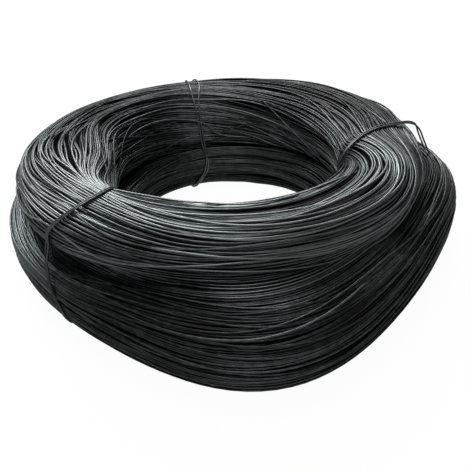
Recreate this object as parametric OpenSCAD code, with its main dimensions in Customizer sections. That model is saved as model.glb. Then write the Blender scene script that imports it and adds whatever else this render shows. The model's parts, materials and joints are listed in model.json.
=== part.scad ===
// Black annealed wire, a tied coil: two stacked lobes of wound wire round one bore, held by three
// doubled wire ties. Millimetres, +Z up, the coil lies flat on z = 0, its front faces -Y.

/* [Wire] */
// Diameter of the wire, in the coil and in its ties
wire_d = 1.6; // [1.2:0.1:2]

/* [Coil] */
// Diameter of the bore
bore_d = 186; // [170:1:200]
// Outside diameter of the upper lobe
upper_d = 347; // [336:1:356]
// Outside diameter of the lower lobe between its slack corners
lower_d = 366; // [356:1:380]
// Height of the coil at the middle of its top
coil_h = 109; // [104:1:116]
// Thickness of the upper lobe
upper_h = 61; // [56:1:66]
// Height of the lower lobe
lower_h = 77; // [70:1:80]
// Depth of the groove between the lobes below the meeting of their rounds
groove_d = 5; // [1:0.5:6]
// Round of the bore's upper edge
bore_top_r = 29; // [16:1:32]
// Round of the bore's lower edge
bore_low_r = 16; // [8:1:22]

/* [Slump] */
// How far the upper lobe lies to the left of the bore's axis
upper_left = 6.5; // [0:0.5:10]
// How far the upper lobe lies to the back of the bore's axis
upper_back = 7.5; // [0:0.5:10]
// How far the upper lobe is drawn out to an oval
upper_oval = 4; // [0:0.5:6]
// How far the top rises to the front and falls to the back
top_tilt = 6; // [0:0.5:8]
// How far the top bends up at two opposite sides and down between them
top_bend = 3; // [0:0.5:4]
// How far the lower lobe's shoulder rises to the right and falls to the left
shoulder_tilt = 5; // [0:0.5:7]
// How far the lower lobe has slumped to the right
slump_right = 2; // [0:0.5:6]
// How far the lower lobe has slumped to the front
slump_front = 3; // [0:0.5:6]
// How far the slack turns have slid out at the front
slack_front = 28; // [0:0.5:34]
// Direction of the slack turns at the front, in degrees round the bore from the right
slack_front_az = 278; // [265:1:290]
// Spread of the slack turns at the front, in degrees
slack_front_w = 27; // [20:1:34]
// How far the slack turns have slid out on the right
slack_right = 25; // [0:0.5:30]
// Direction of the slack turns on the right, in degrees round the bore from the right
slack_right_az = 9; // [0:1:20]
// Spread of the slack turns on the right, in degrees
slack_right_w = 23; // [18:1:30]
// How far the slack turns have slid out on the left
slack_left = 19.5; // [0:0.5:26]
// Direction of the slack turns on the left, in degrees round the bore from the right
slack_left_az = 164; // [150:1:180]
// Spread of the slack turns on the left, in degrees
slack_left_w = 41; // [30:1:46]

/* [Ties] */
// Direction of the left tie, in degrees round the bore from the right
left_az = 221; // [205:1:235]
// Direction of the right tie
right_az = 0; // [-10:1:10]
// Direction of the back tie
back_az = 107; // [95:1:120]
// How far the right tie's outside is turned from its inside, in degrees
right_slant = 21; // [14:1:26]
// How far from a tie the turns rise again, in degrees
pinch_w = 4; // [3:0.5:6]
// How deep the ties bite below the turns round them
tie_sink = 0.3; // [0.2:0.1:0.6]
// Clearance between a tie and the coil, and between its two strands
tie_gap = 0.35; // [0.25:0.05:0.45]
// Length of the hairpin eye of a tie
eye_len = 15; // [10:0.5:18]
// Length of the twisted ends of a tie
tail_len = 27; // [22:0.5:30]
// Turns in the twisted ends
tail_turns = 2; // [1:0.5:3]
// How far the tip of the twisted ends stands off
tip_lift = 6; // [4:0.5:8]

/* [Hidden] */
$fn = 96;
bore_r = bore_d / 2;
upper_r = upper_d / 2;
lower_r = lower_d / 2;
// How far the raw solid swells past the bore and the ground before both are cut true
crown = 0.4;
// Direction in which the upper lobe is longest and its top bends up
oval_az = 17;
// Degrees from the right tie over which the turns follow its slant, and over which that fades
slant_hold = 12;
slant_fade = 40;
// Spacing of a tie's two strands, and the seat that both lie in
strand_pitch = wire_d + tie_gap;
seat_w = strand_pitch + wire_d + 2 * tie_gap;
seat_depth = tie_sink + wire_d + tie_gap;
// How high the twisted ends run over the notch, and the eye over the twisted ends
tail_lift = strand_pitch / 2 + tie_gap;
eye_lift = tail_lift + strand_pitch / 2 + wire_d + tie_gap;
eye_w = strand_pitch + 2 * wire_d + 2 * tie_gap;
// Steps round the coil and round the rounds of its section, steps of the ties' routes, in degrees
ring_step = 6;
low_steps = 9;
up_steps = 8;
edge_steps = 4;
tie_step = 12;
wire_sides = 8;
// Direction of each tie, how far its outside is turned from its inside, and how far its strands
// are spread along the turns so that they keep their spacing where they run aslant
slant_slope = right_slant * PI / 180 * lower_r / (lower_r - bore_r);
TIE_LEFT = [left_az, 0, 1];
TIE_RIGHT = [right_az, right_slant, sqrt(1 + slant_slope * slant_slope)];
TIE_BACK = [back_az, 0, 1];

// Degrees between two directions, the short way round
function between(a, b) = abs((a - b + 900) % 360 - 180);

// How far slack turns have slid out in one direction
function slid(az, size, at, width) = size * exp(-pow(between(az, at) / width, 2));

// Distance from the bore's axis to the outside of each lobe, in one direction
function upper_reach(az) =
    upper_r - upper_left * cos(az) + upper_back * sin(az) + upper_oval * cos(2 * (az - oval_az));
function lower_reach(az) =
    lower_r + slump_right * cos(az) - slump_front * sin(az)
    + slid(az, slack_front, slack_front_az, slack_front_w)
    + slid(az, slack_right, slack_right_az, slack_right_w)
    + slid(az, slack_left, slack_left_az, slack_left_w);

// Height of the top and of the lower lobe's shoulder, in one direction
function crest(az) = coil_h - top_tilt * sin(az) + top_bend * cos(2 * (az - oval_az));
function shoulder(az) = lower_h + shoulder_tilt * cos(az);

// The rounds of the coil's section in one direction, each [radius from the axis, height, round]
function rounds(az) =
    let (lean = slant(az),
         up_az = az + turned(lean, upper_r),
         low_az = az + turned(lean, lower_reach(az + lean / 2)),
         low = shoulder(low_az) / 2)
    [
        [upper_reach(up_az) - upper_h / 2, crest(az) - upper_h / 2, upper_h / 2],
        [lower_reach(low_az) - low, low, low],
        [bore_r + bore_top_r, crest(az) - bore_top_r, bore_top_r],
        [bore_r + bore_low_r, bore_low_r, bore_low_r]
    ];

// A point on a round, stood in by dip
function on_round(c, a, dip) = [c[0] + (c[2] - dip) * cos(a), c[1] + (c[2] - dip) * sin(a)];

// Where the rounds of the two lobes meet on the outside
function meeting(up, low, dip) =
    let (way = [up[0] - low[0], up[1] - low[1]],
         long = norm(way),
         r = low[2] - dip,
         s = up[2] - dip,
         along = (long * long + r * r - s * s) / (2 * long),
         out = sqrt(max(0, r * r - along * along)),
         dir = way / long)
    [low[0], low[1]] + along * dir + out * [dir[1], -dir[0]];

// Outline of the section in one direction, from the bore's wall over the ground to the outside, the
// groove, the top and back to the bore
function section(az, dip) =
    let (c = rounds(az), up = c[0], low = c[1],
         meet = meeting(up, low, dip),
         low_end = atan2(meet[1] - low[1], meet[0] - low[0]),
         up_end = atan2(meet[1] - up[1], meet[0] - up[0]),
         inward = unit([low[0] + up[0], low[1] + up[1]] / 2 - meet),
         swell = dip > 0 ? 0 : crown)
    concat(
        [for (i = [0:edge_steps])
            on_round(c[3], 180 + 90 * i / edge_steps, dip - (i % edge_steps == 0 ? swell : 0))],
        [for (i = [0:low_steps - 1])
            on_round(low, -90 + (low_end + 90) * i / low_steps, dip - (i == 0 ? swell : 0))],
        [meet + groove_d * inward],
        [for (i = [1:up_steps])
            on_round(up, up_end + (90 - up_end) * i / up_steps, dip)],
        [for (i = [0:edge_steps])
            on_round(c[2], 90 + 90 * i / edge_steps, dip - (i == edge_steps ? swell : 0))]);

// How far the turns are slanted in one direction, and turned at one radius of the outline there
function slant(az) =
    right_slant * max(0, 1 - max(0, between(az, right_az) - slant_hold) / slant_fade);
function turned(slanted, base) = slanted * ((base - bore_r) / (lower_r - bore_r) - 0.5);

// Directions of the sections that the coil is swept through, each with its dip and the direction whose
// section it takes: four at a tie, where the turns are pinched to make room for both strands, and even
// steps from one tie to the next
function plain(az) = [az, 0, az];
function pinched(tie) =
    let (flat = seat_w / 2 * tie[2] / bore_r * 180 / PI)
    [plain(tie[0] - flat - pinch_w), [tie[0] - flat, seat_depth, tie[0]],
     [tie[0] + flat, seat_depth, tie[0]], plain(tie[0] + flat + pinch_w)];
function spaced(from, to) =
    let (steps = round((to - from) / ring_step))
    [for (i = [1:steps - 1]) plain(from + (to - from) * i / steps)];
RINGS =
    let (right = pinched(TIE_RIGHT), back = pinched(TIE_BACK), left = pinched(TIE_LEFT))
    concat(right, spaced(right[3][0], back[0][0]), back, spaced(back[3][0], left[0][0]),
           left, spaced(left[3][0], right[0][0] + 360));

// Points of one section set out round the bore's axis
function ring_points(ring) =
    let (even = section(ring[2], 0), own = section(ring[2], ring[1]))
    [for (i = [0:len(own) - 1])
        let (az = ring[0] + turned(slant(ring[0]), even[i][0]))
        [own[i][0] * cos(az), own[i][0] * sin(az), own[i][1]]];
COIL_POINTS = [for (ring = RINGS) each ring_points(ring)];

// The bore's axis, measured from the middle of the coil's outline
function middle(list) = (max(list) + min(list)) / 2;
bore_at = -[middle([for (p = COIL_POINTS) p[0]]), middle([for (p = COIL_POINTS) p[1]]), 0];

// The round that lies outermost in direction a of the section
function outermost(tie, a) =
    let (all = rounds(tie[0]),
         far = [for (c = all) c[0] * cos(a) + c[1] * sin(a) + c[2]])
    all[search(max(far), far)[0]];

// Point of a tie's route: stood off the section's taut outline by lift, in [radius, height]
function taut(tie, a, lift) =
    let (c = outermost(tie, a))
    [c[0] + (c[2] + lift) * cos(a), c[1] + (c[2] + lift) * sin(a)];

// A section point set out round the bore: side is its distance along the turns, base the radius
// of the outline under it, which sets how far a slanted tie has turned there
function placed(tie, p, side, base) =
    let (az = tie[0] + turned(tie[1], base) + side * tie[2] / p[0] * 180 / PI)
    bore_at + [p[0] * cos(az), p[0] * sin(az), p[1]];

// Direction in which the tie bridges the notch between the lobes
function bridge_dir(tie) =
    let (up = rounds(tie[0])[0] - rounds(tie[0])[1],
         long = norm([up[0], up[1]]))
    atan2(up[1], up[0]) - acos(-up[2] / long);

// Point on that bridge, d millimetres up from its foot on the lower lobe
function on_bridge(tie, d, lift) =
    let (a = bridge_dir(tie),
         low = taut(tie, a - 0.01, lift - tie_sink - wire_d / 2))
    low + d * [-sin(a), cos(a)];

// Radius of the outline under that point
function bridge_base(tie, d) = on_bridge(tie, d, tie_sink + wire_d / 2)[0];

// Length of the bridge
function bridge_len(tie) =
    let (a = bridge_dir(tie))
    norm(taut(tie, a + 0.01, 0) - taut(tie, a - 0.01, 0));

// Directions round the section, from the bridge's head over the bore to its foot, with both ends of
// each flat among them
function way(tie) =
    let (head = bridge_dir(tie), ends = [head, 90, 180, 270, head + 360])
    [for (i = [0:3])
        let (from = ends[i] + 0.01, to = ends[i + 1] - 0.01, steps = ceil((to - from) / tie_step))
        each [for (k = [0:steps]) from + (to - from) * k / steps]];

// One strand along that way
function strand(tie, side) =
    [for (a = way(tie))
        placed(tie, taut(tie, a, -tie_sink - wire_d / 2), side, taut(tie, a, 0)[0])];

// The hairpin eye, from one strand's head on the bridge to the other's
function eye(tie) =
    let (head = bridge_len(tie), turn = eye_w / 2)
    [for (i = [0:8])
        let (a = 180 * (i - 2) / 4,
             end = i == 0 || i == 8,
             s = i < 4 ? -1 : 1,
             down = end ? 0.3 * eye_len : eye_len - turn + turn * sin(max(0, min(180, a))),
             side = end ? s * strand_pitch / 2 : -turn * cos(max(0, min(180, a))),
             rise = end ? 0.3 * eye_lift : eye_lift)
        if (i != 1 && i != 7)
            placed(tie, on_bridge(tie, head - down, rise), side, bridge_base(tie, head - down))];

// One of the twisted ends, from the foot of the bridge to its tip
function tail(tie, s) =
    [for (i = [1:16])
        let (t = i / 16,
             turn = 360 * tail_turns * max(0, t - 0.2),
             out = max(0, t - 0.7) / 0.3,
             rise = tail_lift * min(1, t * 5) + (tip_lift - tail_lift) * out * out)
        placed(tie, on_bridge(tie, tail_len * t, rise + s * strand_pitch / 2 * sin(turn)),
               s * strand_pitch / 2 * cos(turn), bridge_base(tie, tail_len * t))];

// The whole tie wire from tip to tip
function reversed(list) = [for (i = [len(list) - 1:-1:0]) list[i]];
function tie_route(tie) = concat(
    reversed(tail(tie, -1)), reversed(strand(tie, -strand_pitch / 2)), eye(tie),
    strand(tie, strand_pitch / 2), tail(tie, 1));

// Frames carried along a route without twist
function unit(v) = v / norm(v);
function heading(p, i) = unit(p[min(i + 1, len(p) - 1)] - p[max(i - 1, 0)]);
function carried(n, t) = unit(n - (n * t) * t);
function normals(p) =
    [for (i = 0, n = carried([0.31, 0.53, 0.79], heading(p, 0));
          i < len(p);
          i = i + 1, n = i < len(p) ? carried(n, heading(p, i)) : n) n];

// Round wire swept along a route
module wire(p) {
    n = normals(p);
    points = [for (i = [0:len(p) - 1], k = [0:wire_sides - 1])
        let (a = 360 * k / wire_sides, b = cross(heading(p, i), n[i]))
        p[i] + wire_d / 2 * (cos(a) * n[i] + sin(a) * b)];
    sides = [for (i = [0:len(p) - 2], k = [0:wire_sides - 1])
        let (j = i * wire_sides, m = (k + 1) % wire_sides)
        each [[j + k, j + wire_sides + m, j + m], [j + k, j + wire_sides + k, j + wire_sides + m]]];
    last = (len(p) - 1) * wire_sides;
    caps = [[for (k = [0:wire_sides - 1]) k], [for (k = [wire_sides - 1:-1:0]) last + k]];
    polyhedron(points, concat(sides, caps));
}

// The lobes of wound wire, swept through all sections round the bore's axis
module lobes() {
    count = len(RINGS);
    each_has = len(COIL_POINTS) / count;
    faces = [for (i = [0:count - 1], k = [0:each_has - 1])
        let (j = i * each_has, next = ((i + 1) % count) * each_has, m = (k + 1) % each_has)
        each [[j + k, j + m, next + m], [j + k, next + m, next + k]]];
    polyhedron(COIL_POINTS, faces);
}

// The wound coil with its bore, flat on the ground and pinched by its ties
module wire_coil() {
    color([0.09, 0.1, 0.1])
        difference() {
            translate(bore_at)
                lobes();
            translate(bore_at + [0, 0, -1])
                cylinder(h = coil_h + top_tilt + top_bend + 2, r = bore_r);
            translate([-lower_d, -lower_d, -2])
                cube([2 * lower_d, 2 * lower_d, 2]);
        }
}

module tie_left() {
    color([0.14, 0.15, 0.15])
        wire(tie_route(TIE_LEFT));
}

module tie_right() {
    color([0.14, 0.15, 0.15])
        wire(tie_route(TIE_RIGHT));
}

module tie_back() {
    color([0.14, 0.15, 0.15])
        wire(tie_route(TIE_BACK));
}

wire_coil();
tie_left();
tie_right();
tie_back();
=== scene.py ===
"""A tied coil of black annealed wire: its wound turns, loose turns, three ties and the stage."""
import json
import math

import bpy
import numpy as np
from bpy.props import FloatProperty, FloatVectorProperty, IntProperty, PointerProperty
from mathutils import Matrix, Vector

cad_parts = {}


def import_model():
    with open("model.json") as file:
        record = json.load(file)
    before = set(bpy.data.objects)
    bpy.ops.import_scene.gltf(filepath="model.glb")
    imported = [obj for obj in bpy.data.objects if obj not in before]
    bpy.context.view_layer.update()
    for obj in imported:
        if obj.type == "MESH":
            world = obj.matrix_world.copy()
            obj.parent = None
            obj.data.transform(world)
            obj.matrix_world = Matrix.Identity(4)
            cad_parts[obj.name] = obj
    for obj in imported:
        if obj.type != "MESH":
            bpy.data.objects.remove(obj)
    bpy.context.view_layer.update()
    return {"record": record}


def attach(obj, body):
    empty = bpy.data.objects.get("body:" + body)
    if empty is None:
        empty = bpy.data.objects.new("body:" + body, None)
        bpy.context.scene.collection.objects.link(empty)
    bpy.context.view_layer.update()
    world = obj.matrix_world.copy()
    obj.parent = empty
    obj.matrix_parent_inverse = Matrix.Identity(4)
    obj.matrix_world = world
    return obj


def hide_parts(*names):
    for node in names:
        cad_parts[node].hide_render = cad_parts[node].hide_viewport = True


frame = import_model()
BORE = next(m for m in frame["record"]["mounts"] if m["kind"] == "bore")
MIDDLE = np.array(BORE["pos_m"][:2])

bl_info = {
    "name": "Tied wire coil",
    "version": (1, 0, 0),
    "blender": (4, 5, 0),
    "location": "3D View > Sidebar > Wire coil",
    "description": "Winds a coil of black annealed wire over its packed solid and ties it",
    "category": "Object",
}


# Sizes and colours that a user would change

def length(name, description, default):
    return FloatProperty(name=name, description=description, default=default, unit="LENGTH", precision=4)


def angle(name, description, degrees):
    return FloatProperty(name=name, description=description, default=math.radians(degrees), subtype="ANGLE")


def colour(name, description, default):
    return FloatVectorProperty(name=name, description=description, default=default, size=3,
                               subtype="COLOR", min=0.0, max=1.0)


def pair(name, description, default):
    return FloatVectorProperty(name=name, description=description, default=default, size=2,
                               subtype="XYZ", unit="LENGTH", precision=4)


class WireSizes(bpy.types.PropertyGroup):
    """The wire itself and how it is laid."""
    width: length("Wire diameter", "Diameter of the coil's wire", 0.0016)
    tie_width: length("Tie diameter", "Diameter of the wire of the ties", 0.0016)
    points: IntProperty(name="Points a turn", description="Points along each turn", default=120, min=48)
    sides: IntProperty(name="Sides", description="Sides of the wire", default=6, min=4)
    seed: IntProperty(name="Seed", description="Start of the random lay", default=11)


class UpperLobe(bpy.types.PropertyGroup):
    """The smaller lobe on top."""
    inner: length("Inner radius", "Bore radius of the upper lobe", 0.0971)
    reach: length("Outer radius", "Mean outer radius of the upper lobe", 0.1735)
    shift: pair("Shift", "How far the lobe is pushed aside", (-0.0065, 0.0073))
    oval: pair("Oval", "Two-sided part of its outline", (0.0036, 0.0020))
    corner: length("Corner", "How far its three corners bulge", -0.0014)
    corner_at: angle("Corner azimuth", "Azimuth of the corner that faces the front", -75)
    top: length("Top", "Mean height of its crest", 0.1094)
    tilt: pair("Tilt", "Rise of the crest to the right and to the back", (0.0007, -0.0062))
    saddle: pair("Saddle", "Two-sided rise of the crest", (0.0025, 0.0020))
    thick: length("Thickness", "Height of its section", 0.0605)
    lean: length("Lean", "How far its inner wall leans out at the back left", 0.029)
    lean_at: angle("Lean azimuth", "Azimuth where the inner wall leans out", 126)
    lean_wide: angle("Lean width", "Half width of the leaning wall", 36)
    nip: length("Tie lean", "How far the left tie draws the bore's upper edge outwards", 0.019)
    nip_wide: angle("Tie lean width", "Half width of the edge that the left tie draws", 18.0)
    groove: length("Groove", "Depth of the groove between the lobes", 0.0075)


class LowerLobe(bpy.types.PropertyGroup):
    """The wider lobe that it stands on."""
    inner: length("Inner radius", "Bore radius of the lower lobe", 0.0914)
    reach: length("Outer radius", "Outer radius of the lower lobe at the ties", 0.1833)
    shift: pair("Shift", "How far the lobe is pushed aside", (0.0022, -0.0030))
    front: length("Front corner", "How far the front corner bulges", 0.0287)
    front_at: angle("Front corner azimuth", "Azimuth of the front corner", -82)
    front_wide: angle("Front corner width", "Half width of the front corner", 27)
    right: length("Right corner", "How far the right corner bulges", 0.0252)
    right_at: angle("Right corner azimuth", "Azimuth of the right corner", 9)
    right_wide: angle("Right corner width", "Half width of the right corner", 23)
    left: length("Left corner", "How far the left corner bulges", 0.0196)
    left_at: angle("Left corner azimuth", "Azimuth of the left corner", 164)
    left_wide: angle("Left corner width", "Half width of the left corner", 41)
    top: length("Top", "Height of its upper skin", 0.0776)
    ledge: FloatProperty(name="Ledge", description="How far its upper skin drops to the bore, as a share",
                         default=0.6)
    tilt: pair("Tilt", "Rise of its upper skin to the right and to the back", (0.0054, -0.0031))


class OxideLook(bpy.types.PropertyGroup):
    """Finish of the wire."""
    dark: colour("Dark oxide", "Thick, dull oxide", (0.0192, 0.0194, 0.0190))
    pale: colour("Pale oxide", "Thin, rubbed oxide", (0.168, 0.189, 0.192))
    rust: colour("Rust", "Brown bloom on some turns", (0.075, 0.050, 0.038))
    dust: colour("Dust", "Pale dust in the turns", (0.42, 0.42, 0.40))
    edge: colour("Edge tint", "Tint of the wire where it is seen at a slant", (0.5, 0.5, 0.5))
    # The packed turns' colours are painted shade: near black, for the gaps between the outer turns that fall
    # in shade
    deep: colour("Deep turns", "Darkness of the packed turns between the outer ones", (0.003, 0.003, 0.003))
    painted_dark_pale: colour("Pale deep turns", "Paler patches of the packed turns", (0.009, 0.008, 0.007))


class StageLook(bpy.types.PropertyGroup):
    """Camera, lamps and floor."""
    height: angle("Camera elevation", "Elevation of the camera", 34.87)
    distance: length("Camera distance", "Distance from the aim to the camera", 0.6196)
    focal_px: FloatProperty(name="Focal length in pixels", description="Focal length for a 470 pixel image",
                            default=718.4)
    aim: FloatVectorProperty(name="Aim", description="Point that the camera looks at, from the bore's axis",
                             default=(0.0050, -0.0472, 0.040), size=3, subtype="XYZ", unit="LENGTH",
                             precision=4)
    roll: angle("Camera roll", "Turn of the camera about its view", -0.942)
    key: FloatProperty(name="Key lamp", description="Power of the key lamp", default=50.0, unit="POWER")
    fill: FloatProperty(name="Fill lamp", description="Power of the fill lamp", default=9.0, unit="POWER")
    air: FloatProperty(name="Air", description="Strength of the even light from all round", default=0.22)
    ground: colour("Floor", "Colour of the floor as the lamps light it", (0.9, 0.9, 0.9))


# Shape of the two lobes

# Azimuths of the ties, how far to each side they hold the turns, and how far they lift the lower lobe
TIES = {"left": -139.0, "right": 2.0, "back": 107.0}
TIE_REACH = 14.0
TIE_LIFT = 0.0018

# Azimuth where the left tie draws the bore's upper edge outwards
NIP_AT = TIES["left"] - 2

# How square each section is, towards the bore and outwards, and that of both low down in the bore
UPPER_ROUND = (2.7, 2.3)
LOWER_ROUND = (3.0, 2.4)
LOW_ROUND = 4.0

# Depth of the groove outside, as shares of its set depth: the least everywhere, and what is added, by
# azimuth, half width and share
GROOVE_LEAST = 0.05
GROOVES = ((-134, 28, 1.2), (4, 36, 1.0), (110, 60, 0.6))

# Share of the groove that the lower lobe has outside, and that both have in the bore
GROOVE_LOWER = 0.7
GROOVE_INSIDE = 0.3

# Azimuth at which lengths round a section are measured
MEASURED_AT = -60.0


def turned(a):
    """An angle brought between minus and plus half a turn."""
    return (a + math.pi) % (2 * math.pi) - math.pi


def near(theta, azimuth, half):
    """One at an azimuth, falling off to both sides; both in degrees."""
    return np.exp(-(turned(theta - math.radians(azimuth)) / math.radians(half)) ** 2)


def gather(theta):
    """One at a tie and nothing between two ties."""
    return sum(near(theta, azimuth, TIE_REACH) for azimuth in TIES.values())


class Lobe:
    """A rounded section that changes as it goes round the bore, and the places on its skin."""

    def __init__(self, outer, inner, low, high, round_in, round_out, lean, ledge):
        self.outer, self.inner, self.low, self.high = outer, inner, low, high
        self.round_in, self.round_out, self.lean, self.ledge = round_in, round_out, lean, ledge
        self.creases = []
        angles = np.linspace(-math.pi, 3 * math.pi, 2881)
        r, z = self.point(angles, np.full_like(angles, math.radians(MEASURED_AT)), 0.0)
        way = np.concatenate([[0], np.cumsum(np.hypot(np.diff(r), np.diff(z)))])
        self.angles, self.way = angles, way - np.interp(0.0, angles, way)

    def frame_at(self, theta):
        """Middle radius and height, half width and half height of the section."""
        outer, inner, low, high = self.outer(theta), self.inner, self.low(theta), self.high(theta)
        return (outer + inner) / 2, (high + low) / 2, (outer - inner) / 2, (high - low) / 2

    def shaped(self, x, y, theta):
        """How far the inner wall leans out and the upper skin drops, at a place of the plain section."""
        lean = self.lean(theta) * np.clip(-x, 0, 1) * (1 + y) / 2
        drop = np.where(y > 0, self.ledge * np.clip(-2 * x - 0.5, 0, 1), 0.0)
        return lean, drop

    def power(self, x, y):
        """How square the section is in the quarter where a place lies."""
        return np.where(x > 0, self.round_out, np.where(y > 0, self.round_in, LOW_ROUND))

    def point(self, around, theta, depth):
        """Radius and height at an angle round the section, a depth below the skin."""
        mid_r, mid_z, wide, tall = self.frame_at(theta)
        c, s = np.cos(around), np.sin(around)
        power = 2 / self.power(c, s)
        for azimuth, where, sink, width in self.creases:
            off = turned(around - np.interp(theta % (2 * math.pi), azimuth, where, period=2 * math.pi))
            depth = depth + sink(theta) * np.exp(-(off / width) ** 2)
        x, y = np.sign(c) * np.abs(c) ** power, np.sign(s) * np.abs(s) ** power
        lean, drop = self.shaped(x, y, theta)
        return mid_r + (wide - depth) * x + lean, mid_z + (tall - depth) * y * (1 - drop)

    def holds(self, r, z, theta):
        """Whether a point lies inside the section."""
        mid_r, mid_z, wide, tall = self.frame_at(theta)
        x, y = (r - mid_r) / wide, np.clip((z - mid_z) / tall, -1, 1)
        lean, drop = self.shaped(x, y, theta)
        x, y = (r - lean - mid_r) / wide, (z - mid_z) / tall / (1 - drop)
        power = self.power(x, y)
        return np.abs(x) ** power + np.abs(y) ** power < 1

    def place(self, degrees):
        """Length round the skin, from the outermost point over the top, up to an angle round the section."""
        return float(np.interp(math.radians(degrees), self.angles, self.way))


def meeting(lobe, other, start, stop):
    """Angle round the section, for each azimuth, where a lobe's skin runs into the other lobe."""
    azimuth = np.linspace(0, 2 * math.pi, 144, endpoint=False)
    around = np.radians(np.linspace(start, stop, 241))[:, None]
    r, z = lobe.point(around, azimuth[None, :], 0.0)
    inside = other.holds(r, z, azimuth[None, :])
    first = np.where(inside.any(axis=0), inside.argmax(axis=0), len(around) - 1)
    return azimuth, around[first, 0]


def lobes(slid=1.0):
    """Upper and lower lobe; slid is the share of the right corner's turns that have slid out."""
    up, low = bpy.context.scene.coil_upper, bpy.context.scene.coil_lower

    def upper_outer(t):
        return (up.reach + up.shift[0] * np.cos(t) + up.shift[1] * np.sin(t)
                + up.oval[0] * np.cos(2 * t) + up.oval[1] * np.sin(2 * t)
                + up.corner * np.cos(3 * (t - up.corner_at)))

    def lower_outer(t):
        bulges = ((low.front, low.front_at, low.front_wide), (slid * low.right, low.right_at, low.right_wide),
                  (low.left, low.left_at, low.left_wide))
        return (low.reach + low.shift[0] * np.cos(t) + low.shift[1] * np.sin(t)
                + sum(size * np.exp(-(turned(t - at) / wide) ** 2) for size, at, wide in bulges))

    def crest(t):
        return (up.top + up.tilt[0] * np.cos(t) + up.tilt[1] * np.sin(t)
                + up.saddle[0] * np.cos(2 * t) + up.saddle[1] * np.sin(2 * t))

    def shoulder(t):
        return low.top + low.tilt[0] * np.cos(t) + low.tilt[1] * np.sin(t)

    def leaning(t):
        return (up.lean * near(t, math.degrees(up.lean_at), math.degrees(up.lean_wide))
                + up.nip * near(t, NIP_AT, math.degrees(up.nip_wide)))

    def upright(t):
        return 0.0 * t

    def upper_foot(t):
        return crest(t) - up.thick

    def lower_foot(t):
        return TIE_LIFT * gather(t)

    def grooved(share):
        def sink(t):
            depth = sum((deep * near(t, azimuth, half) for azimuth, half, deep in GROOVES), GROOVE_LEAST)
            return share * up.groove * depth
        return sink

    def inner_groove(t):
        return GROOVE_INSIDE * up.groove

    upper = Lobe(upper_outer, up.inner, upper_foot, crest, *UPPER_ROUND, leaning, 0.0)
    lower = Lobe(lower_outer, low.inner, lower_foot, shoulder, *LOWER_ROUND, upright, low.ledge)
    # Lobe, where its skin meets the other, looked for between two angles, and the groove's depth and width
    found = [(upper, meeting(upper, lower, 60, -85), grooved(1.0), 0.30),
             (upper, meeting(upper, lower, 130, 262), inner_groove, 0.16),
             (lower, meeting(lower, upper, -20, 95), grooved(GROOVE_LOWER), 0.16),
             (lower, meeting(lower, upper, 200, 95), inner_groove, 0.12)]
    for lobe, (azimuth, where), sink, width in found:
        lobe.creases.append((azimuth, where, sink, width))
    return upper, lower


def world(theta, r, z):
    """Points in the shared frame, from azimuth, radius and height at the bore's axis."""
    return np.stack([MIDDLE[0] + r * np.cos(theta), MIDDLE[1] + r * np.sin(theta), z + 0.0 * r], axis=-1)


# Lay of the turns

def waves(rng, theta, orders, size, count=1):
    """Slow closed waves along a turn, one row for each of count turns."""
    total = np.zeros((count, len(theta)))
    for k in orders:
        phase = rng.uniform(0, 2 * math.pi, (count, 1))
        total += rng.normal(0, 1, (count, 1)) * np.cos(k * theta + phase) / math.sqrt(k)
    return size * total / math.sqrt(sum(1 / k for k in orders))


# Openings between hanks: azimuth, angle round the section, its change along the turn, half length, half gap
CLEFTS = {
    "upper": ((-175, 81, 1.3, 12, 0.0044), (172, 97, 0.5, 15, 0.0026), (-163, 56, 1.2, 12, 0.0018),
              (-17, 112, 2.3, 14, 0.0036), (60, 118, 0.1, 30, 0.0016), (70, 205, 0.0, 60, 0.0022),
              (-70, 34, 0.1, 40, 0.0010), (-95, 100, -0.1, 30, 0.0010), (-40, 14, 0.3, 26, 0.0012)),
    "lower": ((-62, 22, 0.35, 30, 0.0022), (-112, 8, -0.4, 26, 0.0024), (-34, 36, 0.4, 24, 0.0024),
              (-52, -14, 0.3, 26, 0.0024), (-100, -22, 0.0, 30, 0.0018), (95, 196, 0.0, 60, 0.0024)),
}

# How far the turns under the outer ones follow an opening
UNDER_SHARE = {"upper": 0.8, "lower": 0.2}

# Places where turns are drawn across the section: azimuth, half length before and after it, first and last
# angle of the turns that are drawn, how far they go, and how softly the first of them part from the rest
FLOWS = {
    "upper": ((4, 21, 80, -170, 500, 0.0340, 0.0150), (-139, 26, 40, 20, 112, 0.0150, 0.0100),
              (-139, 16, 16, 125, 178, -0.0030, 0.0080), (-172, 20, 17, 97, 178, 0.0085, 0.0007)),
    "lower": ((-139, 24, 24, 20, 80, -0.0080, 0.0080),),
}

# How softly the last of the drawn turns part from the rest
LAST_EDGE = 0.012

# How far an opening pushes, how sharply it parts the turns and how far it lets them sink, in half gaps, and
# how far along a turn it keeps its slant, in radians
CLEFT_REACH = 3.2
CLEFT_EDGE = 0.3
CLEFT_SINK = 0.35
CLEFT_SLANT = 0.6


def draw_turns(lobe, name, place, theta):
    """Draws turns across the section, as the ties and slack turns do."""
    for az, before, after, first, last, way, edge in FLOWS[name]:
        off = np.degrees(turned(theta - math.radians(az)))
        along = np.exp(-(off / np.where(off < 0, before, after)) ** 2)
        start, stop = lobe.place(first), lobe.place(last)
        rest = place.mean(axis=1, keepdims=True)
        inside = 0.5 * (np.tanh((rest - start) / edge) - np.tanh((rest - stop) / LAST_EDGE))
        place = place + way * inside * along
    return place
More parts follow.
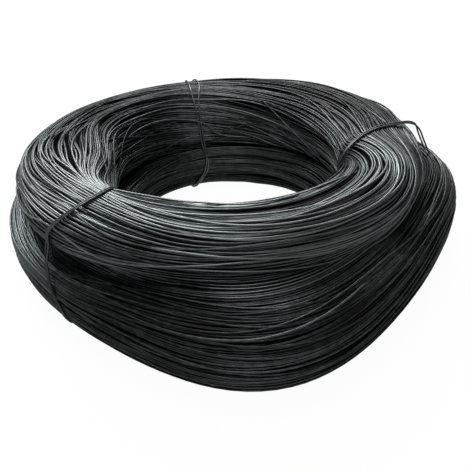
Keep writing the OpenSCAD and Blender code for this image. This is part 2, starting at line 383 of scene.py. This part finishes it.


# Painted light and shade by place: turns painted lighter where the lamps catch them on the left and at the
# front, and painted darker at the back, in the bore and low down. Columns: azimuth, angle round the section,
# how far that goes in each, and the factor
PAINTED_LIGHT_SPOTS = {
    "upper": ((-122, 88, 28, 40, 1.75), (-56, 85, 22, 40, 1.45), (-157, 70, 22, 50, 2.3),
              (-148, 28, 14, 26, 2.6), (156, 85, 26, 65, 0.28), (110, 165, 75, 55, 0.95),
              (95, 75, 36, 60, 0.40), (40, 90, 36, 50, 0.23), (-118, -38, 40, 30, 0.30),
              (-66, -14, 40, 24, 2.8), (-62, 20, 30, 26, 1.9), (-12, 150, 26, 40, 1.1),
              (-168, 172, 24, 30, 0.35), (-116, 20, 24, 22, 0.6)),
    "lower": ((-155, 25, 26, 50, 4.2), (-80, -42, 80, 45, 0.60), (-74, 74, 40, 20, 5.6),
              (-80, 40, 36, 22, 0.55), (10, 40, 30, 40, 1.3), (100, 200, 90, 60, 0.75),
              (-118, 60, 20, 40, 0.4)),
}


def painted_light_factor(name, around, theta):
    """Factor of the painted light and shade at each point of some turns."""
    total = 0.0
    for az, at, wide, tall, factor in PAINTED_LIGHT_SPOTS[name]:
        off = turned(around - math.radians(at)) / math.radians(tall)
        total = total + math.log(factor) * near(theta, az, wide) * np.exp(-off ** 2)
    return np.exp(total)


def part_turns(lobe, name, place, theta, depth, share):
    """Pushes turns out of the openings and lets the ones beside them sink a little."""
    for az, at, lean, half, wide in CLEFTS[name]:
        gap = share * wide
        off_az = turned(theta - math.radians(az))
        along = np.exp(-(off_az / math.radians(half)) ** 2)
        slant = lean * np.clip(off_az, -CLEFT_SLANT, CLEFT_SLANT)
        off = place - np.interp(math.radians(at) + slant, lobe.angles, lobe.way)
        beside = np.exp(-(off / (CLEFT_REACH * gap)) ** 2)
        side = np.tanh((off * along).sum(axis=1, keepdims=True) / along.sum() / (CLEFT_EDGE * gap))
        place = place + side * gap * beside * along
        depth = depth + CLEFT_SINK * gap * beside * along
    return place, depth


# Fewest turns in a hank and the number it stays under, and the distance of its turns in wire widths
HANK = (3, 10)
HANK_PITCH = 1.10


def freedom(theta, hold):
    """How freely turns wander; at a tie the share hold of it is gone."""
    return 1 - hold * np.clip(gather(theta), 0, 1)


def wound(lobe, name, span, depth, gap, sway, painted_shade_share, rng, wire, points):
    """Centre lines and shades of turns that lie side by side in rounded hanks on a lobe's skin."""
    theta = np.linspace(0, 2 * math.pi, points, endpoint=False)
    free = freedom(theta, hold=0.7)
    first, last = lobe.place(span[0]), lobe.place(span[1])
    place, sunk, shade = [], [], []
    at = first
    while at < last:
        n = int(rng.integers(*HANK))
        half = n * wire / 2
        offset = ((np.arange(n)[:, None] + 0.5) * wire - half) * HANK_PITCH
        spread = 1 + waves(rng, theta, (1, 2, 3), 0.10)
        lane = at + half + waves(rng, theta, (1, 2, 3, 4), sway) * free
        place.append(lane + offset * spread + waves(rng, theta, (2, 3, 5, 7), 0.38 * wire, n) * free)
        sunk.append(depth + wire / 2 + free * (0.30 * half * (offset / half) ** 2
                                               + np.abs(waves(rng, theta, (1, 2, 3, 4), 0.55 * wire))
                                               + np.abs(waves(rng, theta, (1, 3, 4, 6), 0.45 * wire, n))))
        shade.append(0.5 * rng.random() + 0.5 * rng.random(n))
        at += 2 * HANK_PITCH * half + gap * rng.uniform(0.1, 1.9) * wire
    place, sunk, shade = np.concatenate(place), np.concatenate(sunk), np.concatenate(shade)
    share = 1.0 if depth == 0 else UNDER_SHARE[name]
    place, sunk = part_turns(lobe, name, draw_turns(lobe, name, place, theta), theta, sunk, share)
    around = np.interp(place, lobe.way, lobe.angles)
    r, z = lobe.point(around, theta, sunk)
    # Shades: each turn's own tone, times the piece's painted shade and the painted light and shade by place
    return world(theta, r, z), shade[:, None] * painted_shade_share * painted_light_factor(name, around, theta)


def roving(lobe, name, span, lift, count, sway, rng, wire, points):
    """Centre lines and shades of single turns that rove over the others."""
    theta = np.linspace(0, 2 * math.pi, points, endpoint=False)
    free = freedom(theta, hold=0.8)
    rest = rng.uniform(lobe.place(span[0]), lobe.place(span[1]), (count, 1))
    place = draw_turns(lobe, name, rest + waves(rng, theta, (1, 2, 3, 4), sway, count) * free, theta)
    sunk = wire / 2 + waves(rng, theta, (1, 2, 3, 5), lift, count) * free + 0.2 * lift
    around = np.interp(place, lobe.way, lobe.angles)
    r, z = lobe.point(around, theta, np.maximum(sunk, -0.5 * wire))
    # Shades: each turn's own tone, times the painted light and shade by place
    return world(theta, r, z), rng.uniform(0.2, 1.0, (count, 1)) * painted_light_factor(name, around, theta)


# Sweeping lines into wire with Geometry Nodes

def socket_key(tree, name):
    """Key of a named input of the tree."""
    return next(i.identifier for i in tree.interface.items_tree
                if i.name == name and i.in_out == "INPUT")


def wire_tree():
    """Lines in, round wire out: sizes and finish are named inputs."""
    tree = bpy.data.node_groups.get("wire_from_lines")
    if tree:
        return tree
    tree = bpy.data.node_groups.new("wire_from_lines", "GeometryNodeTree")
    put = tree.interface.new_socket
    put(name="Lines", in_out="INPUT", socket_type="NodeSocketGeometry")
    put(name="Wire radius", in_out="INPUT", socket_type="NodeSocketFloat")
    put(name="Sides", in_out="INPUT", socket_type="NodeSocketInt")
    put(name="Finish", in_out="INPUT", socket_type="NodeSocketMaterial")
    put(name="Wire", in_out="OUTPUT", socket_type="NodeSocketGeometry")
    make, link = tree.nodes.new, tree.links.new
    given, made = make("NodeGroupInput"), make("NodeGroupOutput")
    path, ring = make("GeometryNodeMeshToCurve"), make("GeometryNodeCurvePrimitiveCircle")
    sweep, smooth = make("GeometryNodeCurveToMesh"), make("GeometryNodeSetShadeSmooth")
    real, paint = make("GeometryNodeRealizeInstances"), make("GeometryNodeSetMaterial")
    ring.mode = "RADIUS"
    sweep.inputs["Fill Caps"].default_value = True
    link(given.outputs["Lines"], path.inputs["Mesh"])
    link(given.outputs["Sides"], ring.inputs["Resolution"])
    link(given.outputs["Wire radius"], ring.inputs["Radius"])
    link(path.outputs["Curve"], sweep.inputs["Curve"])
    link(ring.outputs["Curve"], sweep.inputs["Profile Curve"])
    link(sweep.outputs["Mesh"], smooth.inputs["Geometry"])
    link(smooth.outputs["Geometry"], real.inputs["Geometry"])
    link(real.outputs["Geometry"], paint.inputs["Geometry"])
    link(given.outputs["Finish"], paint.inputs["Material"])
    link(paint.outputs["Geometry"], made.inputs["Wire"])
    return tree


def lines_mesh(name, lines, closed, shades):
    """A mesh of loose edges with the shade of each line on its points."""
    counts = [len(line) for line in lines]
    starts = np.concatenate([[0], np.cumsum(counts)])
    edges = []
    for first, n, shut in zip(starts, counts, closed):
        k = np.arange(first, first + n)
        pairs = np.stack([k, np.roll(k, -1)], axis=1)
        edges.append(pairs if shut else pairs[:-1])
    mesh = bpy.data.meshes.new(name)
    mesh.from_pydata(np.concatenate(lines).tolist(), np.concatenate(edges).tolist(), [])
    lay = np.concatenate([np.broadcast_to(shade, n) for shade, n in zip(shades, counts)])
    mesh.attributes.new("lay", "FLOAT", "POINT").data.foreach_set("value", lay.astype(np.float32))
    return mesh


def swept(name, lines, closed, shades, width, sides, finish):
    """One plain mesh object of round wire along the lines."""
    tree = wire_tree()
    helper = bpy.data.objects.new(name + ".lines", lines_mesh(name + ".lines", lines, closed, shades))
    bpy.context.scene.collection.objects.link(helper)
    mod = helper.modifiers.new("Wire", "NODES")
    mod.node_group = tree
    mod[socket_key(tree, "Wire radius")] = width / 2
    mod[socket_key(tree, "Sides")] = sides
    mod[socket_key(tree, "Finish")] = finish
    shown = helper.evaluated_get(bpy.context.evaluated_depsgraph_get())
    mesh = bpy.data.meshes.new_from_object(shown)
    helper.modifiers.clear()
    bpy.data.objects.remove(helper)
    if len(mesh.polygons) == 0:
        raise RuntimeError(name + ": no wire was made")
    mesh.name = name
    piece = bpy.data.objects.new(name, mesh)
    bpy.context.scene.collection.objects.link(piece)
    return piece


def hand_over(piece, node):
    """Hangs a piece on the root and hides the part that it stands for."""
    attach(piece, "root")
    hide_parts(node)


# Finishes

class Value:
    """A shader socket that takes part in plain arithmetic."""

    def __init__(self, finish, socket):
        self.finish, self.socket = finish, socket

    def maths(self, operation, first, second):
        return self.finish.node("ShaderNodeMath", {"operation": operation}, {0: first, 1: second}).out(0)

    def __add__(self, other):
        return self.maths("ADD", self, other)

    def __mul__(self, other):
        return self.maths("MULTIPLY", self, other)

    __radd__, __rmul__ = __add__, __mul__


class Made:
    """A node that was just made."""

    def __init__(self, finish, node):
        self.finish, self.node = finish, node

    def out(self, key):
        return Value(self.finish, self.node.outputs[key])


class Finish:
    """A material and the one method that makes its nodes."""

    def __init__(self, name):
        self.material = bpy.data.materials.new(name)
        self.material.use_nodes = True
        self.tree = self.material.node_tree
        self.tree.nodes.clear()

    def node(self, kind, settings, sockets):
        node = self.tree.nodes.new(kind)
        for key, value in settings.items():
            setattr(node, key, value)
        for key, value in sockets.items():
            if isinstance(value, Value):
                self.tree.links.new(value.socket, node.inputs[key])
            else:
                node.inputs[key].default_value = value
        return Made(self, node)

    def noise(self, scale, detail, rough=0.5):
        where = self.node("ShaderNodeTexCoord", {}, {}).out("Object")
        return self.node("ShaderNodeTexNoise", {}, {
            "Vector": where, "Scale": scale, "Detail": detail, "Roughness": rough}).out(0)

    def ramp(self, value, low, high):
        return self.node("ShaderNodeMapRange", {"interpolation_type": "SMOOTHSTEP"},
                         {"Value": value, "From Min": low, "From Max": high}).out(0)

    def blend(self, share, first, second):
        return self.node("ShaderNodeMix", {"data_type": "RGBA"}, {0: share, 6: first, 7: second}).out(2)

    def close(self, shader):
        self.node("ShaderNodeOutputMaterial", {}, {"Surface": shader})
        return self.material


def full(c):
    """A colour with its alpha."""
    return (*c, 1.0)


def oxide_finish(name, lift):
    """Black annealing oxide: each turn its own shade, with the painted light and shade carried in lay,
    patches, a brown bloom and pale dust.
    """
    look = bpy.context.scene.coil_oxide
    f = Finish(name)
    shade = {"attribute_type": "GEOMETRY", "attribute_name": "lay"}
    lay = f.node("ShaderNodeAttribute", shade, {}).out("Fac")
    patch, mottle, grain = f.noise(16, 3), f.noise(190, 3, 0.6), f.noise(1600, 2)
    tone = f.ramp(lay * 0.60 + patch * 0.55 + mottle * 0.45, 0.45, 1.25)
    base = f.blend(tone, full(look.dark), full(look.pale))
    bloom = f.ramp(f.noise(9, 2) + lay * 0.35, 0.70, 1.0) * 0.3
    base = f.blend(bloom, base, full(look.rust))
    specks = f.ramp(f.noise(520, 1), 0.74, 0.80) * f.ramp(f.noise(22, 2), 0.5, 0.7) * 0.5
    base = f.blend(specks, base, full(look.dust))
    rough = 0.30 + lift + mottle * 0.16 + patch * 0.08 + specks * 0.3
    bump = f.node("ShaderNodeBump", {}, {"Strength": 0.25, "Distance": 0.0002, "Height": grain}).out(0)
    shader = f.node("ShaderNodeBsdfPrincipled", {}, {
        "Base Color": base, "Roughness": rough, "Metallic": 0.9, "Specular Tint": full(look.edge),
        "Normal": bump}).out(0)
    return f.close(shader)


def painted_dark_finish(name):
    """Painted shade between the outer turns: a dull, near-black finish for the packed turns."""
    look = bpy.context.scene.coil_oxide
    f = Finish(name)
    tone = f.ramp(f.noise(420, 2), 0.35, 0.7)
    base = f.blend(tone, full(look.deep), full(look.painted_dark_pale))
    shader = f.node("ShaderNodeBsdfPrincipled", {}, {
        "Base Color": base, "Roughness": 0.8 + tone * 0.2, "Specular IOR Level": 0.0}).out(0)
    return f.close(shader)


def finish_named(name, lift=0.0):
    """An oxide finish, made the first time it is asked for; lift makes it rougher."""
    return bpy.data.materials.get(name) or oxide_finish(name, lift)


# Operators

# Depths below the skin, in wire widths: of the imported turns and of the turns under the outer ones
PACKED_DEPTH = 3.2
UNDER_DEPTH = 1.5


class COIL_OT_packed(bpy.types.Operator):
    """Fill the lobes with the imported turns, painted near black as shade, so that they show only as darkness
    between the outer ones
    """
    bl_idname = "coil.packed"
    bl_label = "Packed turns"

    def execute(self, context):
        depth = PACKED_DEPTH * context.scene.coil_wire.width
        m, n = 96, 40
        i, j = np.meshgrid(np.arange(m), np.arange(n), indexing="ij")
        theta, around = i * 2 * math.pi / m, j * 2 * math.pi / n
        row, next_row, after = i * n, (i + 1) % m * n, (j + 1) % n
        quads = np.stack([row + j, next_row + j, next_row + after, row + after], axis=-1).reshape(-1, 4)
        verts, faces = [], []
        for k, lobe in enumerate(lobes()):
            r, z = lobe.point(around, theta, depth)
            verts.append(world(theta, r, z).reshape(-1, 3))
            faces.append(quads + k * m * n)
        mesh = bpy.data.meshes.new("packed_turns")
        mesh.from_pydata(np.concatenate(verts).tolist(), [], np.concatenate(faces).tolist())
        mesh.materials.append(painted_dark_finish("packed_painted_dark"))
        piece = bpy.data.objects.new("packed_turns", mesh)
        context.scene.collection.objects.link(piece)
        hand_over(piece, "wire_coil")
        return {"FINISHED"}


class COIL_OT_wind(bpy.types.Operator):
    """Wind the turns that lie on the skin of both lobes"""
    bl_idname = "coil.wind"
    bl_label = "Wound turns"

    def execute(self, context):
        w = context.scene.coil_wire
        upper, lower = lobes()
        rng = np.random.default_rng(w.seed)
        finish = finish_named("black_oxide")
        under = UNDER_DEPTH * w.width
        # Piece, lobe, its name, first and last angle round the section, depth, gap between hanks, sway, and
        # the painted shade that darkens the turns under the outer ones, on the lower lobe and in the bore
        jobs = (
            ("upper_turns", upper, "upper", (-110, 250), 0.0, 0.9, 0.0026, 1.0),
            ("upper_under_turns", upper, "upper", (-110, 250), under, 0.3, 0.0030, 0.6),
            ("lower_outer_turns", lower, "lower", (-75, 100), 0.0, 0.9, 0.0030, 0.40),
            ("lower_outer_under_turns", lower, "lower", (-75, 100), under, 0.3, 0.0034, 0.25),
            ("lower_inner_turns", lower, "lower", (140, 285), 0.0, 0.9, 0.0030, 0.4),
            ("lower_inner_under_turns", lower, "lower", (140, 285), under, 0.6, 0.0030, 0.25),
        )
        for name, lobe, key, span, depth, gap, sway, painted_shade_share in jobs:
            lines, shades = wound(lobe, key, span, depth, gap, sway, painted_shade_share, rng, w.width, w.points)
            piece = swept(name, list(lines), [True] * len(lines), shades, w.width, w.sides, finish)
            hand_over(piece, "wire_coil")
        # Lobe, its name, first and last angle round the section, lift in wire widths, number, sway, and the
        # painted shade that darkens the loose turns on the lower lobe and in the bore
        rovers = ((upper, "upper", (-40, 140), 0.7, 20, 0.005, 1.0),
                  (lower, "lower", (-50, 60), 0.6, 22, 0.008, 0.35),
                  (upper, "upper", (150, 205), 0.5, 14, 0.012, 0.35))
        lines, shades = [], []
        for lobe, key, span, lift, count, sway, painted_shade_share in rovers:
            roved, tones = roving(lobe, key, span, lift * w.width, count, sway, rng, w.width, w.points)
            lines.extend(roved)
            shades.extend(painted_shade_share * tones)
        piece = swept("roving_turns", lines, [True] * len(lines), shades, w.width, w.sides, finish)
        hand_over(piece, "wire_coil")
        return {"FINISHED"}


# Single turns that have come away: lobe, then azimuth, angle round the section and height over the skin,
# or for a taut one the azimuth, radius and height of its two ends
STRAYS = (
    ("taut", ((72, 0.1085, 0.0975), (9, 0.0975, 0.0635))),
    ("taut", ((38, 0.1020, 0.0875), (0, 0.0990, 0.0945))),
    ("upper", ((-146, 108, -0.003), (-132, 116, 0.001), (-110, 121, 0.0016), (-98, 124, 0.0022),
               (-84, 122, 0.0016), (-60, 122, 0.0018), (-44, 116, 0.001), (-30, 108, -0.003))),
    ("upper", ((-112, 122, -0.003), (-96, 124, 0.001), (-80, 126, 0.0024), (-66, 125, 0.0026),
               (-50, 120, 0.001), (-42, 114, -0.003))),
    ("upper", ((-118, 40, -0.002), (-100, 34, 0.001), (-80, 22, 0.002), (-62, 12, 0.001), (-48, 10, -0.003))),
    ("lower", ((-120, 30, -0.003), (-104, 30, 0.001), (-86, 34, 0.002), (-66, 44, 0.001), (-52, 50, -0.003))),
    ("upper", ((160, 176, -0.004), (132, 168, 0.0012), (112, 172, 0.0020), (92, 186, 0.0012),
               (70, 196, -0.004))),
)

# Points along each, and the painted shade that darkens the taut ones, which cross the bore's wall in its
# shade
STRAY_POINTS = 60
TAUT_PAINTED_SHADE = 0.25


def eased(knots, n):
    """A smooth line through the knots."""
    knots = np.array(knots, float)
    span = np.linspace(0, len(knots) - 1, n)
    k = np.clip(span.astype(int), 0, len(knots) - 2)
    t = (span - k)[:, None]
    slope = np.gradient(knots, axis=0)
    a, b, da, db = knots[k], knots[k + 1], slope[k], slope[k + 1]
    return ((2 * t ** 3 - 3 * t ** 2 + 1) * a + (t ** 3 - 2 * t ** 2 + t) * da
            + (3 * t ** 2 - 2 * t ** 3) * b + (t ** 3 - t ** 2) * db)


def crossing(rng, outer, inner):
    """Knots of strands that run aslant on both sides of the left opening and gather at the left tie."""
    for k in range(outer):
        t = (k + rng.uniform(0.1, 0.9)) / outer
        first, tie = 36 + 62 * t, 46 + 58 * t ** 0.7
        yield "upper", ((rng.uniform(-214, -200), first + 12 - 8 * t, -0.004),
                        (-176, first, rng.uniform(0.0002, 0.0014)),
                        (-139, tie, -0.0002), (rng.uniform(-131, -126), tie + 1, -0.004))
    for k in range(inner):
        t = (k + rng.uniform(0.1, 0.9)) / inner
        yield "upper", ((rng.uniform(-226, -212), 90 + 8 * t, -0.004), (-192, 104 + 18 * t, 0.0004),
                        (-170, 112 + 24 * t, rng.uniform(0.0002, 0.0012)), (-139, 102 + 14 * t, -0.0002),
                        (rng.uniform(-131, -126), 102 + 13 * t, -0.004))


class COIL_OT_strays(bpy.types.Operator):
    """Lay the single turns that have come away from the rest"""
    bl_idname = "coil.strays"
    bl_label = "Stray turns"

    def execute(self, context):
        w = context.scene.coil_wire
        upper, lower = lobes()
        lines, shades = [], []
        rng = np.random.default_rng(w.seed + 1)
        for key, knots in (*STRAYS, *crossing(rng, outer=9, inner=5)):
            if key == "taut":
                first, last = (world(math.radians(az), r, z) for az, r, z in knots)
                lines.append(first + np.linspace(0, 1, STRAY_POINTS)[:, None] * (last - first))
                # The taut turns are painted darker, as shade of the bore
                shades.append(TAUT_PAINTED_SHADE * rng.uniform(0.3, 1.0))
                continue
            way = eased(knots, STRAY_POINTS)
            theta, around = np.radians(way[:, 0]), np.radians(way[:, 1])
            r, z = (upper if key == "upper" else lower).point(around, theta, w.width / 2 - way[:, 2])
            lines.append(world(theta, r, z))
            # Each stray's own tone, times the painted light and shade by place
            shades.append(rng.uniform(0.3, 1.0) * painted_light_factor(key, around, theta))
        piece = swept("stray_turns", lines, [False] * len(lines), shades,
                      w.width, w.sides, finish_named("black_oxide"))
        hand_over(piece, "wire_coil")
        return {"FINISHED"}


# How a tie lies, by the direction that its wire faces round the section (0 outwards, 90 up, 180 inwards): its
# azimuth in degrees, half the distance between its two strands in wire widths, and its slack in metres
TIE_LAY = {
    "left": ((-180, -138, 0.6, 0), (-90, -141, 0.55, 0), (-62, -137, 0.55, -0.003),
             (-40, -132.5, 0.55, -0.002), (-12, -132.3, 0.75, 0), (0, -133.5, 0.9, 0), (8, -136, 0.8, 0),
             (14, -141.5, 0.6, 0), (32, -137.5, 0.55, 0), (60, -134.5, 0.55, 0), (95, -133, 0.55, 0),
             (140, -137, 0.55, 0), (180, -138, 0.6, 0)),
    "right": ((-180, -12, 0.8, 0), (-90, 2, 0.8, 0), (0, 11, 0.8, 0.001), (12, 10.8, 3.4, 0.003),
              (26, 10.3, 3.8, 0.005), (44, 9.3, 1.4, 0.007), (60, 8, 0.8, 0.003), (75, 7, 0.8, 0),
              (96, 3, 0.8, 0), (116, -5, 0.8, 0), (150, -10, 0.8, 0), (180, -12, 0.8, 0)),
    "back": ((-180, 102, 0.8, 0), (-168, 109, 0.6, 0), (-150, 114, 0.6, 0), (-90, 110, 0.6, 0),
             (0, 104, 0.7, 0), (70, 104, 3.0, 0), (95, 104, 3.2, 0), (140, 106, 1.6, 0),
             (160, 105, 0.2, 0), (170, 103, -0.9, 0.001), (180, 102, 0.8, 0)),
}

# Where the ends of each tie meet, as a share of the way up over the groove, whether they stand off (1) or are
# tucked into the groove (-1), how pale each tie is, and the share of the right corner's bulge that it
# goes round
JOINS = {"left": 0.72, "right": -0.70, "back": 0.72}
TUCKS = {"left": -1.0, "right": 1.0, "back": 1.0}
TIE_SHADES = {"left": 0.35, "right": 0.6, "back": 0.6}
TIE_SLID = {"left": 1.0, "right": 0.25, "back": 1.0}

# Sides of the wire of the ties, and the steps along a route and along the wire
TIE_SIDES = 8
ROUTE_STEP = 0.001
TIE_STEP = 0.0022

# Row of a route that holds the direction faced, and the degrees up to which that is on the outside
FACED = 3
OUTSIDE = 75

# Reach in metres over which each other row of a route is rounded off
EASE = {0: 0.0022, 1: 0.0022, 2: 0.010, 4: 0.004, 5: 0.006}


def evened(values, step, reach):
    """Rounds a closed row of values off over a reach along it."""
    k = np.fft.rfftfreq(len(values), step)
    return np.fft.irfft(np.fft.rfft(values) * np.exp(-2 * (math.pi * k * reach) ** 2), len(values))


def tie_route(both, name, wire):
    """The taut way round both lobes: radius, height, azimuth, direction faced, strand distance and slack."""
    facing = np.arange(-180.0, 180.0, 1.0)
    lay = np.array(TIE_LAY[name])
    azimuth, apart, slack = (np.interp(facing, lay[:, 0], lay[:, k]) for k in (1, 2, 3))
    around = np.linspace(0, 2 * math.pi, 361)
    path = []
    for f, az, gap, loose in zip(np.radians(facing), np.radians(azimuth), apart, slack):
        skins = [lobe.point(around, np.full_like(around, az), 0.0) for lobe in both]
        r, z = (np.concatenate(values) for values in zip(*skins))
        c, s = math.cos(f), math.sin(f)
        best = np.argmax(r * c + z * s)
        path.append((r[best] + 0.5 * wire * c, z[best] + 0.5 * wire * s, az, f, gap * wire, loose))
    path = np.array(path + path[:1])
    path[-1, FACED] = math.pi
    steps = np.hypot(np.diff(path[:, 0]), np.diff(path[:, 1]))
    way = np.concatenate([[0], np.cumsum(steps)])
    outside = np.where(np.abs(np.degrees(path[:-1, FACED])) < OUTSIDE, steps, 0.0)
    join = way[outside.argmax()] + JOINS[name] * outside.max()
    even = np.linspace(0, way[-1], int(way[-1] / ROUTE_STEP), endpoint=False)
    keep = np.concatenate([[True], np.diff(way) > 1e-6])
    rows = [np.interp(even, way[keep], path[keep, k]) for k in range(6)]
    for k, reach in EASE.items():
        rows[k] = evened(rows[k], even[1], reach)
    return np.stack(rows, axis=1), even, join, way[-1]


class TieWay:
    """Points on and over the way of one tie, by the length gone round it."""

    def __init__(self, both, name, wire):
        self.path, self.way, self.join, self.total = tie_route(both, name, wire)
        self.lowest = 0.55 * wire

    def row(self, where, k):
        return np.interp(where, self.way, self.path[:, k], period=None if k == FACED else self.total)

    def at(self, gone, share, aside, lift):
        """Points beside the way, by a share of the strands' distance and a length, and lifted off it."""
        where = (self.join + gone) % self.total
        r, z, az, f, apart, loose = (self.row(where, k) for k in range(6))
        off = lift + loose
        points = world(az, r + off * np.cos(f), np.maximum(z + off * np.sin(f), self.lowest))
        across = np.stack([-np.sin(az), np.cos(az), 0 * az], axis=-1)
        return points + (share * apart + aside)[:, None] * across


def tie_line(both, name, wire, start=0.004, foot=0.008, eye=0.013, tail=0.026, turns=2.5, ease=0.006):
    """One wire from tip to tip: twisted tail, round the coil, hairpin eye, back round, twisted tail."""
    way = TieWay(both, name, wire)
    tail *= 1.0 if TUCKS[name] > 0 else 0.7
    gone = np.linspace(start, way.total - foot, int(way.total / TIE_STEP))
    tuck = TUCKS[name] * wire
    settle = tuck * (1.3 * np.exp(-(gone / ease) ** 2))
    out, home = (way.at(gone, share, 0.0, settle) for share in (1, -1))
    psi = np.linspace(0.12, math.pi - 0.12, 15)
    bend = way.at(way.total - foot + eye * np.sin(psi), 0, wire * np.cos(psi) * (0.6 + 1.3 * np.sin(psi)),
                  0.7 * tuck * np.sin(psi))
    v = np.linspace(0.08, 1, 22)
    twist = 0.56 * wire
    tails = []
    for phase in (0, math.pi):
        turn = 2 * math.pi * turns * v + phase
        tails.append(way.at(start - tail * v, 0, twist * np.cos(turn),
                            1.9 * tuck + twist * np.sin(turn) + 1.6 * tuck * v ** 2))
    return np.concatenate([tails[0][::-1], out, bend, home[::-1], tails[1]])


class COIL_OT_ties(bpy.types.Operator):
    """Lay the three doubled ties round both lobes"""
    bl_idname = "coil.ties"
    bl_label = "Ties"

    def execute(self, context):
        w = context.scene.coil_wire
        finish = finish_named("tie_oxide", 0.02)
        for name in TIES:
            line = tie_line(lobes(TIE_SLID[name]), name, w.tie_width)
            piece = swept(name + "_tie", [line], [False], [TIE_SHADES[name]], w.tie_width, TIE_SIDES, finish)
            hand_over(piece, "tie_" + name)
        return {"FINISHED"}


# Point that the lamps face, the camera's sensor in millimetres and the photograph's width in pixels
LAMP_AIM = (0, 0, 0.05)
SENSOR = 36.0
PHOTO_WIDTH = 470.0

# White, and how much of it the floor shows by itself where it is looked at, over the light that falls on it
WHITE = (1.0, 1.0, 1.0, 1.0)
FLOOR_GLOW = 0.97


class COIL_OT_stage(bpy.types.Operator):
    """Set up the floor, the lamps and the camera"""
    bl_idname = "coil.stage"
    bl_label = "Stage"

    def execute(self, context):
        scene, look = context.scene, context.scene.coil_stage
        scene.view_settings.view_transform = "Standard"
        self.floor(scene, look)
        self.air(scene, look)
        self.lamp(scene, "key_lamp", look.key, (-0.30, 1.10, 1.05), wide=1.50, deep=0.45)
        self.lamp(scene, "fill_lamp", look.fill, (-0.10, -0.30, 1.30), wide=0.60, deep=0.60)
        self.camera(scene, look)
        return {"FINISHED"}

    def floor(self, scene, look):
        """A round floor whose far rim bends up, so that a low view has it behind the coil too."""
        size, rise, sides = 14.0, 3.0, 64
        bend = np.linspace(0, math.pi / 2, 7)
        rings = [(size - rise + rise * math.sin(a), rise - rise * math.cos(a)) for a in bend]
        turn = 2 * math.pi / sides
        verts = [(0.0, 0.0, 0.0)] + [(r * math.cos(turn * j), r * math.sin(turn * j), z)
                                     for r, z in rings for j in range(sides)]

        def at(i, j):
            return 1 + i * sides + j % sides

        faces = [(0, at(0, j), at(0, j + 1)) for j in range(sides)]
        faces += [(at(i, j), at(i + 1, j), at(i + 1, j + 1), at(i, j + 1))
                  for i in range(len(rings) - 1) for j in range(sides)]
        mesh = bpy.data.meshes.new("floor")
        mesh.from_pydata(verts, [], faces)
        f = Finish("white_floor")
        path = f.node("ShaderNodeLightPath", {}, {})
        seen = path.out("Is Camera Ray") + path.out("Is Glossy Ray") + path.out("Is Transmission Ray")
        lit = f.node("ShaderNodeBsdfDiffuse", {}, {"Color": full(look.ground)}).out(0)
        glow = f.node("ShaderNodeEmission", {}, {"Color": WHITE, "Strength": 1.0}).out(0)
        mixed = f.node("ShaderNodeMixShader", {}, {0: seen * FLOOR_GLOW, 1: lit, 2: glow}).out(0)
        mesh.materials.append(f.close(mixed))
        floor = bpy.data.objects.new("floor", mesh)
        scene.collection.objects.link(floor)

    def air(self, scene, look):
        scene.world = bpy.data.worlds.new("even_air")
        scene.world.use_nodes = True
        back = next(n for n in scene.world.node_tree.nodes if n.type == "BACKGROUND")
        back.inputs["Color"].default_value = WHITE
        back.inputs["Strength"].default_value = look.air

    def lamp(self, scene, name, power, place, wide, deep):
        data = bpy.data.lights.new(name, "AREA")
        data.shape, data.energy, data.size, data.size_y = "RECTANGLE", power, wide, deep
        lamp = bpy.data.objects.new(name, data)
        lamp.location = place
        lamp.rotation_euler = (Vector(place) - Vector(LAMP_AIM)).to_track_quat("Z", "Y").to_euler()
        scene.collection.objects.link(lamp)

    def camera(self, scene, look):
        data = bpy.data.cameras.new("photo_camera")
        data.sensor_width, data.lens = SENSOR, look.focal_px * SENSOR / PHOTO_WIDTH
        camera = bpy.data.objects.new("photo_camera", data)
        back = Vector((0, -math.cos(look.height), math.sin(look.height)))
        right = Vector((1, 0, 0))
        up = back.cross(right)
        c, s = math.cos(look.roll), math.sin(look.roll)
        right, up = c * right + s * up, c * up - s * right
        spot = Vector((*MIDDLE, 0)) + Vector(look.aim) + look.distance * back
        camera.matrix_world = Matrix(((right.x, up.x, back.x, spot.x), (right.y, up.y, back.y, spot.y),
                                      (right.z, up.z, back.z, spot.z), (0, 0, 0, 1)))
        data.clip_start = 0.01
        scene.collection.objects.link(camera)
        scene.camera = camera


class COIL_PT_panel(bpy.types.Panel):
    """Lists the steps that make the coil"""
    bl_idname = "COIL_PT_panel"
    bl_label = "Wire coil"
    bl_space_type = "VIEW_3D"
    bl_region_type = "UI"
    bl_category = "Wire coil"

    def draw(self, context):
        for step in STEPS:
            self.layout.operator(step.bl_idname)
        for key in SETTINGS:
            group = getattr(context.scene, key)
            box = self.layout.box()
            for name in group.bl_rna.properties.keys():
                if name not in ("rna_type", "name"):
                    box.prop(group, name)


STEPS = (COIL_OT_packed, COIL_OT_wind, COIL_OT_strays, COIL_OT_ties, COIL_OT_stage)
SETTINGS = {"coil_wire": WireSizes, "coil_upper": UpperLobe, "coil_lower": LowerLobe, "coil_oxide": OxideLook,
            "coil_stage": StageLook}


def register():
    for cls in (*SETTINGS.values(), *STEPS, COIL_PT_panel):
        bpy.utils.register_class(cls)
    for key, cls in SETTINGS.items():
        setattr(bpy.types.Scene, key, PointerProperty(type=cls))


def unregister():
    for key in SETTINGS:
        delattr(bpy.types.Scene, key)
    for cls in (COIL_PT_panel, *reversed(STEPS), *reversed(list(SETTINGS.values()))):
        bpy.utils.unregister_class(cls)


def main():
    register()
    bpy.ops.coil.packed()
    bpy.ops.coil.wind()
    bpy.ops.coil.strays()
    bpy.ops.coil.ties()
    bpy.ops.coil.stage()


if __name__ == "__main__":
    main()
